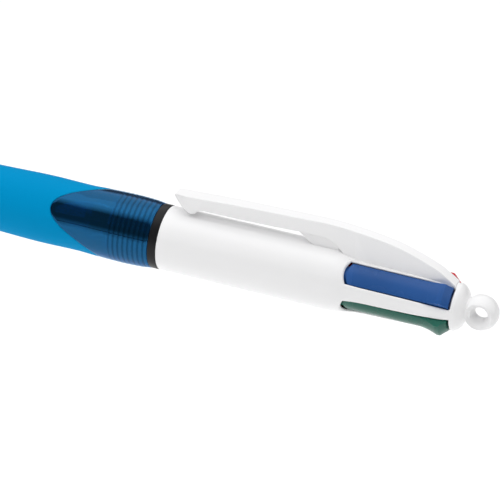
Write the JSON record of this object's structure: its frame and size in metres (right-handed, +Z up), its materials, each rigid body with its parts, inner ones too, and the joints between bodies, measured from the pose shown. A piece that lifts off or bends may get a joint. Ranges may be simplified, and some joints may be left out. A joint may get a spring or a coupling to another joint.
{
  "type": "multicolor click pen",
  "caption": "Retractable multicolour ball pen: tinted barrel with rubber grip, white shell with sprung colour sliders, pocket clip, and a ball with a lanyard hole.",
  "frame": {"origin": "under the middle of the pen, on the plane it lies on with its clip straight up", "axes": "+X from the nose towards the lanyard ball, +Z up through the clip"},
  "size_m": [0.144, 0.0134, 0.0181],
  "materials": {
    "white_plastic": "smooth satin, moulded",
    "black_plastic": "satin, moulded",
    "natural_plastic": "moulded",
    "tinted_plastic": "polished, see-through",
    "grip_rubber": "fine matt",
    "spring_steel": "drawn wire",
    "brass": "turned",
    "ball_steel": "polished",
    "blue_button": "satin, moulded",
    "black_button": "satin, moulded",
    "red_button": "satin, moulded",
    "green_button": "satin, moulded",
    "blue_tube": "extruded, see-through, tinted by its ink",
    "black_tube": "extruded, see-through, tinted by its ink",
    "red_tube": "extruded, see-through, tinted by its ink",
    "green_tube": "extruded, see-through, tinted by its ink"
  },
  "bodies": {
    "shell": {"upper_shell": "white_plastic", "end_cap": "white_plastic", "threaded_neck": "black_plastic", "spring_guide": "natural_plastic", "blue_spring": "spring_steel", "black_spring": "spring_steel", "red_spring": "spring_steel", "green_spring": "spring_steel"},
    "clip": {"clip": "white_plastic"},
    "barrel": {"barrel": "tinted_plastic", "grip_sleeve": "grip_rubber"},
    "blue_slider": {"blue_slider": "blue_button"},
    "blue_refill": {"blue_ink_tube": "blue_tube", "blue_brass_point": "brass", "blue_writing_ball": "ball_steel"},
    "black_slider": {"black_slider": "black_button"},
    "black_refill": {"black_ink_tube": "black_tube", "black_brass_point": "brass", "black_writing_ball": "ball_steel"},
    "red_slider": {"red_slider": "red_button"},
    "red_refill": {"red_ink_tube": "red_tube", "red_brass_point": "brass", "red_writing_ball": "ball_steel"},
    "green_slider": {"green_slider": "green_button"},
    "green_refill": {"green_ink_tube": "green_tube", "green_brass_point": "brass", "green_writing_ball": "ball_steel"}
  },
  "joints": [
    {"name": "clip_flex", "type": "hinge", "parent": "shell", "child": "clip", "pos_m": [0.0326, 0, 0.01799], "axis": [0, 1, 0], "range_deg": [0, 5], "stiffness_Nm_per_rad": 0.3},
    {"name": "barrel_removal", "type": "slide", "parent": "shell", "child": "barrel", "axis": [-1, 0, 0], "range_m": [0, 0.09]},
    {"name": "blue_press", "type": "slide", "parent": "shell", "child": "blue_slider", "axis": [-1, 0, 0], "range_m": [0, 0.007], "stiffness_N_per_m": 150, "springref_m": -0.005, "deforming": ["blue_spring"]},
    {"name": "blue_refill_flex", "type": "hinge", "parent": "blue_slider", "child": "blue_refill", "pos_m": [0.034, -0.00219, 0.00888], "axis": [0, -0.7071, -0.7071], "range_deg": [0, 1.02], "deforming": ["blue_ink_tube", "blue_brass_point", "blue_writing_ball"]},
    {"name": "black_press", "type": "slide", "parent": "shell", "child": "black_slider", "axis": [-1, 0, 0], "range_m": [0, 0.007], "stiffness_N_per_m": 150, "springref_m": -0.005, "deforming": ["black_spring"]},
    {"name": "black_refill_flex", "type": "hinge", "parent": "black_slider", "child": "black_refill", "pos_m": [0.034, 0.00248, 0.00482], "axis": [0, 0.6018, 0.7986], "range_deg": [0, 1.02], "deforming": ["black_ink_tube", "black_brass_point", "black_writing_ball"]},
    {"name": "red_press", "type": "slide", "parent": "shell", "child": "red_slider", "axis": [-1, 0, 0], "range_m": [0, 0.007], "stiffness_N_per_m": 150, "springref_m": -0.005, "deforming": ["red_spring"]},
    {"name": "red_refill_flex", "type": "hinge", "parent": "red_slider", "child": "red_refill", "pos_m": [0.034, 0.00219, 0.00888], "axis": [0, -0.7071, 0.7071], "range_deg": [0, 1.02], "deforming": ["red_ink_tube", "red_brass_point", "red_writing_ball"]},
    {"name": "green_press", "type": "slide", "parent": "shell", "child": "green_slider", "axis": [-1, 0, 0], "range_m": [0, 0.007], "stiffness_N_per_m": 150, "springref_m": -0.005, "deforming": ["green_spring"]},
    {"name": "green_refill_flex", "type": "hinge", "parent": "green_slider", "child": "green_refill", "pos_m": [0.034, -0.00248, 0.00482], "axis": [0, 0.6018, -0.7986], "range_deg": [0, 1.02], "deforming": ["green_ink_tube", "green_brass_point", "green_writing_ball"]}
  ],
  "couplings": [
    {"joint": "blue_refill_flex", "follows": "blue_press", "rad_per_m": 2.5409},
    {"joint": "black_refill_flex", "follows": "black_press", "rad_per_m": 2.5409},
    {"joint": "red_refill_flex", "follows": "red_press", "rad_per_m": 2.5409},
    {"joint": "green_refill_flex", "follows": "green_press", "rad_per_m": 2.5409}
  ]
}
